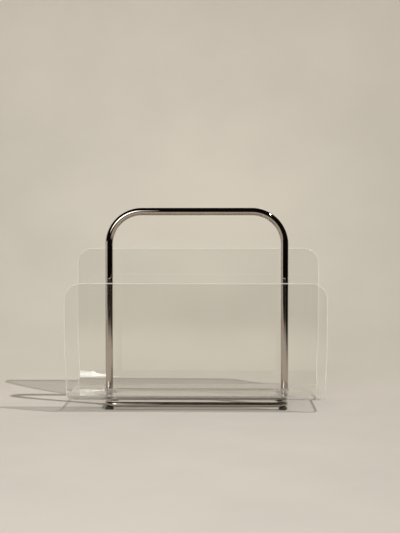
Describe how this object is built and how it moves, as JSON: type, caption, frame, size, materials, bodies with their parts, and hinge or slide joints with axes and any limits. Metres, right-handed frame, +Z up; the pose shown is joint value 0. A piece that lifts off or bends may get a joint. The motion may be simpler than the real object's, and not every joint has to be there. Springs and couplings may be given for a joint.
{
  "type": "magazine rack",
  "caption": "Free-standing magazine rack: clear bent-sheet trough with a low front and a taller rear panel, on a chrome tube base, with an arched chrome tube carrying handle.",
  "frame": {"origin": "on the floor, under the middle of the trough's width and depth", "axes": "+X along the rack's width, +Y towards the taller rear panel, +Z up"},
  "size_m": [0.4, 0.18, 0.313],
  "materials": {
    "clear_acrylic": "polished",
    "chrome": "polished",
    "plain_steel": "satin",
    "nylon": "satin",
    "rubber": "matte"
  },
  "bodies": {
    "root": {"acrylic_trough": "clear_acrylic", "handle": "chrome", "front_base_tube": "chrome", "rear_base_tube": "chrome", "left_cross_bar": "chrome", "right_cross_bar": "chrome", "left_saddle_spacer": "nylon", "right_saddle_spacer": "nylon", "left_shoulder_washer": "nylon", "right_shoulder_washer": "nylon", "left_leg_insert": "plain_steel", "right_leg_insert": "plain_steel", "left_screw": "plain_steel", "right_screw": "plain_steel", "left_lock_washer": "plain_steel", "right_lock_washer": "plain_steel", "front_left_foot": "rubber", "front_right_foot": "rubber", "rear_left_foot": "rubber", "rear_right_foot": "rubber"}
  },
  "joints": []
}
